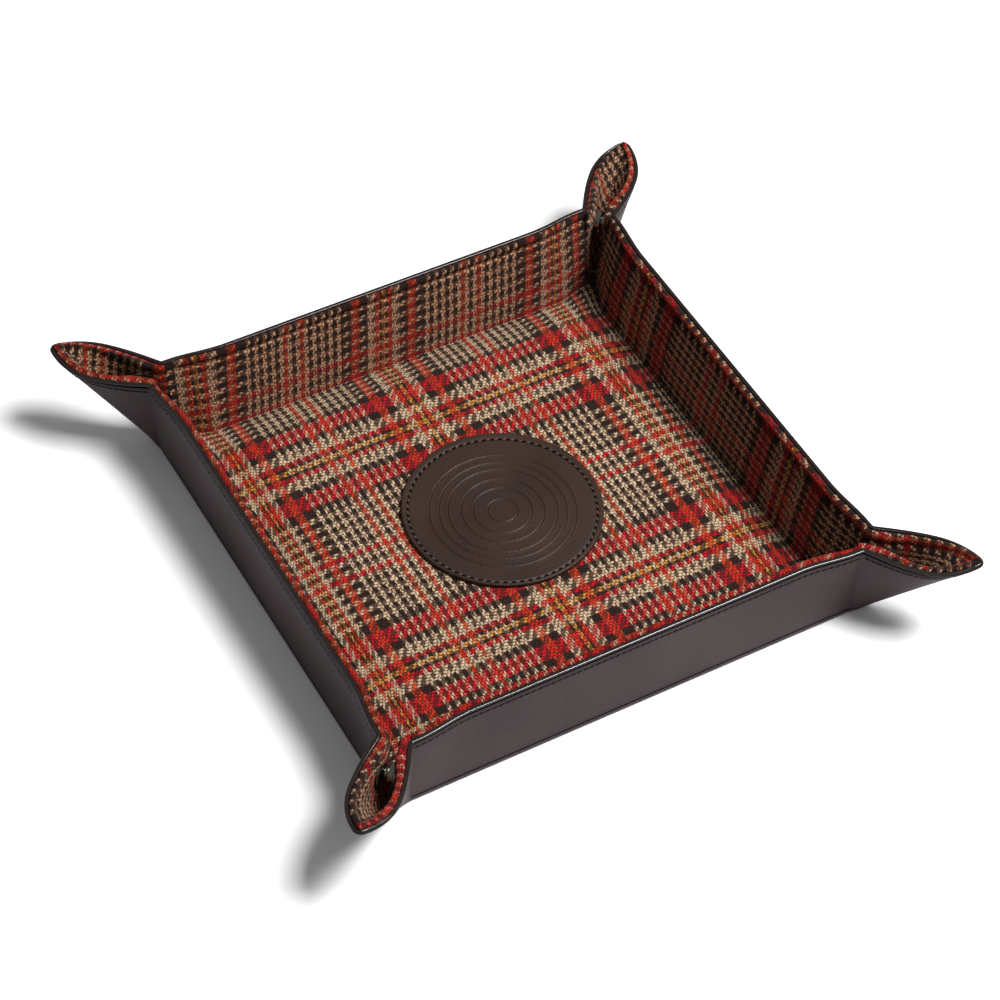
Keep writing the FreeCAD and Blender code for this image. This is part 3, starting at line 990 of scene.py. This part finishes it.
for panel, (stations, shares) in panels.items():
    hide, cloth = ear_hide[stations], ear_cloth[stations]
    first_u = reached
    for corner, wall, way, body, before, start, end in ear_sides(panel):
        lean = crease_lean[wall] * ear_fade[stations][:, None]
        own = around(drawn_in(hide, lean), *way)
        skin = loops_to_object(f"{body}_hide", own, sharp=60.0, bands=ear_bands)
        dress(skin, wall_hide, (edge_paint, painted_groove_shade))
        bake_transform(skin)
        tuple(start)
        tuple(end)
        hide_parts(f"{body}_leather")
        strayed = ear_shift.get((corner, wall), 0.0)
        flat, reached = ear_flat(cloth, shares, first_u, hem_cloth[wall], strayed)
        own = around(drawn_in(cloth, lean), *way)
        lining = loops_to_object(f"{body}_cloth", own, around(flat, *way), sharp=60.0)
        dress(lining, shaded_wall_tweed)
        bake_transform(lining)
        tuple(start)
        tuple(end)
        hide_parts(f"{body}_lining")
        size, cut = ear_sheets[panel]

# %% [markdown]
# ## Medallion
# A disc of hide with six pressed rings, sewn down near its edge. It is a profile turned about the upright
# axis: a rounded rim, a shallow stitch line and grooves whose lips stand a hair proud. The press that marked
# it stood a little off the middle, so the rings do too.

# %% Medallion
disc_radius = 38.6
disc_low = plateau - 0.1
disc_high = 7.2
disc_round = 0.6
disc_hole = 0.05
ring_shares = (0.15, 0.29, 0.41, 0.54, 0.63, 0.727)
stitch_ring = 0.935 * disc_radius
press_shift = np.array([-0.9, -1.6])


def press_share(radius):
    """How far a ring strays with the press that marked the disc: all of it inside, none at the cut edge."""
    return np.interp(radius / disc_radius, [0.76, 0.935, 0.983], [1.0, 0.6, 0.0])


def disc_height(radius):
    """Flat top less a groove at each ring, with a faint lip on both sides, and a stitch line."""
    height = np.full_like(radius, disc_high)
    for share in ring_shares:
        away = (radius - share * disc_radius) / 0.26
        height = height - 0.28 * bell(away, 0.0, 1.0) + 0.07 * bell(np.abs(away), 2.2, 1.0)
    return height - 0.3 * bell(radius, stitch_ring, 0.55)


def disc_loops(turns):
    """The closed half-profile, out over the top and back underneath, turned about a straying middle."""
    ringed = np.linspace(disc_hole, 29.5, 190)
    plain = np.linspace(29.8, disc_radius - 0.65, 40)
    radius = np.concatenate([ringed, plain])
    top = np.stack([radius, disc_height(radius)], axis=1)
    edge = arc((disc_radius - disc_round, disc_high - disc_round), disc_round, 88.0, 0.0, 8)
    under = np.array([[disc_radius, disc_low], [disc_hole, disc_low]])
    half = np.concatenate([top, edge, under])
    angle = np.linspace(0.0, 2.0 * math.pi, turns, endpoint=False)
    stray = press_share(half[:, 0])
    x = half[:, 0] * np.cos(angle)[:, None] + stray * press_shift[0]
    y = half[:, 0] * np.sin(angle)[:, None] + stray * press_shift[1]
    return np.stack(np.broadcast_arrays(x, y, half[:, 1]), axis=-1)


medallion = loops_to_object("medallion_disc", disc_loops(144), ring=True, sharp=75.0)
dress(medallion, disc_hide)
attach(medallion, "base")
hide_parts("medallion")
print("medallion", len(medallion.data.polygons), "faces")

# %% [markdown]
# ## Stitches
# A run of stitches is one mesh: a small capsule, repeated along a row of places with its own direction. The
# thread sits half sunk in its groove, and each stitch leans a little, as saddle stitching does. Round the
# medallion, near-black capsules between the stitches are painted shade, standing for the darkness in the
# slits that the needle left.


# %% Stitch rows
def stitch_row(name, places, along, out, length, radius, yarn):
    """Capsules of 4 rings of 6 points: place + along * a + (side cos + out sin) * r for each ring."""
    side = np.cross(along, out)
    ring_at = np.array([-0.5, -0.32, 0.32, 0.5]) * length
    ring_round = np.array([0.25, 1.0, 1.0, 0.25]) * radius
    angle = np.linspace(0.0, 2.0 * math.pi, 6, endpoint=False)
    spoke = side[:, None] * np.cos(angle)[:, None] + out[:, None] * np.sin(angle)[:, None]
    middle = places[:, None] + along[:, None] * ring_at[:, None]
    points = middle[:, :, None] + spoke[:, None] * ring_round[:, None, None]
    quads, caps = tube_faces(points[0])
    own_points = len(ring_at) * len(angle)
    faces = []
    for stitch in range(len(places)):
        faces += [(face + own_points * stitch).tolist() for face in (*quads, *caps)]
    mesh = bpy.data.meshes.new(name)
    mesh.from_pydata((points.reshape(-1, 3) * MM).tolist(), [], faces)
    mesh.polygons.foreach_set("use_smooth", np.ones(len(mesh.polygons), dtype=bool))
    made = place_object(name, mesh)
    dress(made, yarn)
    return made


def unit(vectors):
    """Vectors of length one."""
    return vectors / np.linalg.norm(vectors, axis=-1, keepdims=True)


disc_stitches = 72
wall_stitches = 70


def ring_row(name, offset, height, length, radius, yarn):
    """Capsules round the stitch ring, each turned a little across it, from an angle offset steps on."""
    angle = (np.arange(disc_stitches) + offset) * 2.0 * math.pi / disc_stitches
    middle = press_shift * press_share(stitch_ring)
    x, y = stitch_ring * np.cos(angle) + middle[0], stitch_ring * np.sin(angle) + middle[1]
    places = np.stack([x, y, np.full(disc_stitches, height)], axis=1)
    slant = angle + 0.3
    along = np.stack([-np.sin(slant), np.cos(slant), np.zeros(disc_stitches)], axis=1)
    upward = np.tile([0.0, 0.0, 1.0], (disc_stitches, 1))
    row = stitch_row(name, places, along, upward, length, radius, yarn)
    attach(row, "base")


ring_row("medallion_thread", 0.0, disc_high - 0.14, 1.7, 0.38, disc_thread_lit)
# Painted shade: near-black capsules in the needle slits between the stitches.
ring_row("medallion_needle_slit_shade", 0.5, disc_high - 0.22, 1.8, 0.52, painted_groove_shade)

rim_stitch = (2.0, 0.3, thread)
wall_stitch_x = np.linspace(-strip_end + 1.6, strip_end - 1.6, wall_stitches)
wall_stitch = wall_place(wall_stitch_x, border - stitch_below, 0.0)
wall_stitch_along = np.tile(unit(np.array([1.0, 0.0, 0.08])), (wall_stitches, 1))
wall_stitch_out = np.tile([0.0, -math.sin(wall_angle), -math.cos(wall_angle)], (wall_stitches, 1))
for quarter, wall in enumerate(WALLS):
    ways = [turned(way, quarter) for way in (wall_stitch_along, wall_stitch_out)]
    row = stitch_row(f"{wall}_rim_thread", lean_in(wall_stitch, wall), *ways, *rim_stitch)
    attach(row, f"{wall}_wall")
print("stitches round the medallion", disc_stitches, "and along each wall", wall_stitches)


# %% Ear stitches
def ear_stitch_places(shares):
    """Places on the leather face, the stitch distance below the rim, with direction and outward normal."""
    near = 0.004
    lows = [ear_root(shares + step) for step in (-near, 0.0, near)]
    highs = [ear_rim(shares + step) for step in (-near, 0.0, near)]
    rows = [high - unit(high - low) * stitch_below for low, high in zip(lows, highs)]
    along = unit(rows[2] - rows[0])
    out = unit(np.cross(along, highs[1] - lows[1]))
    return rows[1], along, out


stitch_shares = {"inner": np.linspace(0.05, 0.5, 9), "outer": np.linspace(0.556, 0.955, 9)}
for panel, shares in stitch_shares.items():
    places, along, out = ear_stitch_places(shares)
    fade = 1.0 - smooth(shares / bend_share)
    for _, wall, way, body, before, start, end in ear_sides(panel):
        parts = (drawn_in(places, crease_lean[wall] * fade), along, out)
        row = stitch_row(f"{body}_thread", *[around(part, *way) for part in parts], *rim_stitch)
        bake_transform(row)
        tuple(start)
        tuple(end)
print("ear stitches", {panel: len(shares) for panel, shares in stitch_shares.items()})

# %% [markdown]
# ## Press studs
# These are plain turned parts whose CAD solids are already right, so they stay and only take a finish.

# %% Press studs
for name, node_object in frame["nodes"].items():
    if name.endswith(("_stud", "_socket")):
        node_object.data.materials.clear()
        node_object.data.materials.append(plate)
print("press stud halves", sum(name.endswith(("_stud", "_socket")) for name in frame["nodes"]))

# %% [markdown]
# ## Floor, light and camera
# A pale floor keeps the soft shadow. One large lamp stands to the right of the camera and above; the sky
# fills in. The camera was found by matching the rim, the base and the ear tips.


# %% Floor and sky
def floor_finish():
    """White floor: the camera sees it a third brighter than it is, as an overexposed backdrop."""
    finish, tree, plain = new_finish("studio_floor", "BsdfDiffuse")
    path = add_node(tree, "LightPath")
    paler = math_node(tree, "MULTIPLY_ADD", path.outputs["Is Camera Ray"], 0.3, 0.86)
    set_inputs(tree, plain, {"Color": paler})
    return finish


floor_reach = 4.0
floor_level = -0.0004
floor_corner = (-floor_reach, -floor_reach, floor_level)
floor_corners = [turned(floor_corner, quarter).tolist() for quarter in range(4)]
floor_mesh = bpy.data.meshes.new("floor")
floor_mesh.from_pydata(floor_corners, [], [(0, 1, 2, 3)])
floor = place_object("floor", floor_mesh)
floor_mesh.materials.append(floor_finish())

sky = bpy.data.worlds.new("studio_sky")
sky.use_nodes = True
sky_tree = sky.node_tree
sky_tree.nodes.clear()
sky_path = add_node(sky_tree, "LightPath")
straight, through = sky_path.outputs["Is Camera Ray"], sky_path.outputs["Is Transmission Ray"]
sky_seen = math_node(sky_tree, "MAXIMUM", straight, through)
sky_strength = math_node(sky_tree, "MULTIPLY_ADD", sky_seen, 0.8, 0.2)
sky_light = add_node(sky_tree, "Background", {"Color": (1.0, 1.0, 1.0, 1.0), "Strength": sky_strength})
add_node(sky_tree, "OutputWorld", {"Surface": sky_light.outputs[0]})
bpy.context.scene.world = sky
bpy.context.scene.view_settings.view_transform = "Standard"
print("floor and sky set")


# %% Lamp and camera
def axes_from(azimuth, elevation, roll):
    """Right, up and back of a view; azimuth 0 looks along +Y, and roll turns right towards up."""
    a, e, r = (math.radians(value) for value in (azimuth, elevation, roll))
    back = np.array([math.sin(a) * math.cos(e), -math.cos(a) * math.cos(e), math.sin(e)])
    right = np.array([math.cos(a), math.sin(a), 0.0])
    up = np.cross(back, right)
    return right * math.cos(r) + up * math.sin(r), up * math.cos(r) - right * math.sin(r), back


def stand(item, place, axes):
    """Put a lamp or camera at a place, with its own x, y and z along the three axes."""
    right, up, back = axes
    rows = [[right[i], up[i], back[i], place[i]] for i in range(3)] + [[0.0, 0.0, 0.0, 1.0]]
    item.matrix_world = [list(column) for column in zip(*rows)]


lamp_distance = 1.6
lamp_axes = axes_from(60.0, 62.5, 0.0)
lamp_data = bpy.data.lights.new("key_lamp", "AREA")
lamp_data.shape = "SQUARE"
lamp_data.size = 0.58
lamp_data.energy = 33.0
stand(place_object("key_lamp", lamp_data), lamp_axes[2] * lamp_distance, lamp_axes)

camera_target = np.array([-5.007, -6.11, 20.0]) * MM
camera_distance = 1.1259
camera_axes = axes_from(-31.163, 48.591, 2.741)
camera_data = bpy.data.cameras.new("camera")
camera_data.sensor_width = 36.0
camera_data.lens = 108.18
camera = place_object("camera", camera_data)
stand(camera, camera_target + camera_axes[2] * camera_distance, camera_axes)
bpy.context.scene.camera = camera
print("camera stands", [round(value, 3) for value in camera.matrix_world.translation])
